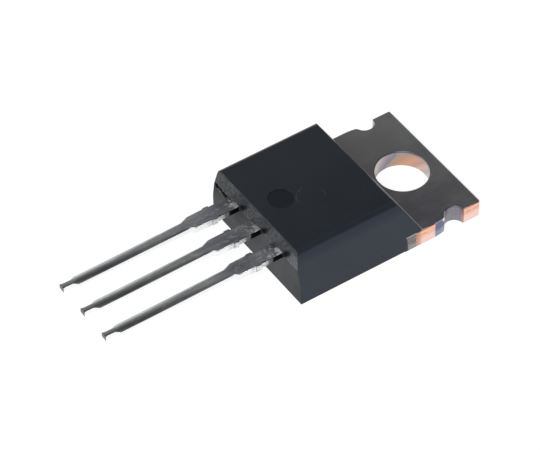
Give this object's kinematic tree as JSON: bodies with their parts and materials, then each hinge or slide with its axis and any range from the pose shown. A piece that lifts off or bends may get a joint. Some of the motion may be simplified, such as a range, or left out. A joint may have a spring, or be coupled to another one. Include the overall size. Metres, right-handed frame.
{
  "type": "power transistor",
  "caption": "Flat moulded power transistor with a bare metal mounting tab and straight leads in one row, stored lying on its metal back.",
  "frame": {"origin": "centre of the tab's mounting hole, on the back face of the metal", "axes": "+X across the width, from the gate lead's side to the source lead's side; +Y from the leads towards the free end of the tab; +Z away from the metal back face, out of the marked face. It lies on its metal back, as in the picture."},
  "size_m": [0.0104, 0.0281, 0.0045],
  "materials": {
    "epoxy": "satin black moulding compound, rough marked face, slightly glossier sides",
    "header_metal": "copper with dull matte tin plate, bare copper on its sheared edges",
    "gate_metal": "dull matte tin plate over copper",
    "source_metal": "dull matte tin plate over copper",
    "solder": "soft grey solder",
    "silicon": "polished silicon with an aluminium top layer",
    "gate_bond": "bright drawn aluminium wire",
    "source_bond_1": "bright drawn aluminium wire",
    "source_bond_2": "bright drawn aluminium wire"
  },
  "bodies": {
    "root": {"mould_body": "epoxy", "drain_header": "header_metal", "gate_lead": "gate_metal", "source_lead": "source_metal", "die_solder": "solder", "silicon_die": "silicon", "gate_wire": "gate_bond", "source_wire_1": "source_bond_1", "source_wire_2": "source_bond_2"}
  },
  "joints": []
}
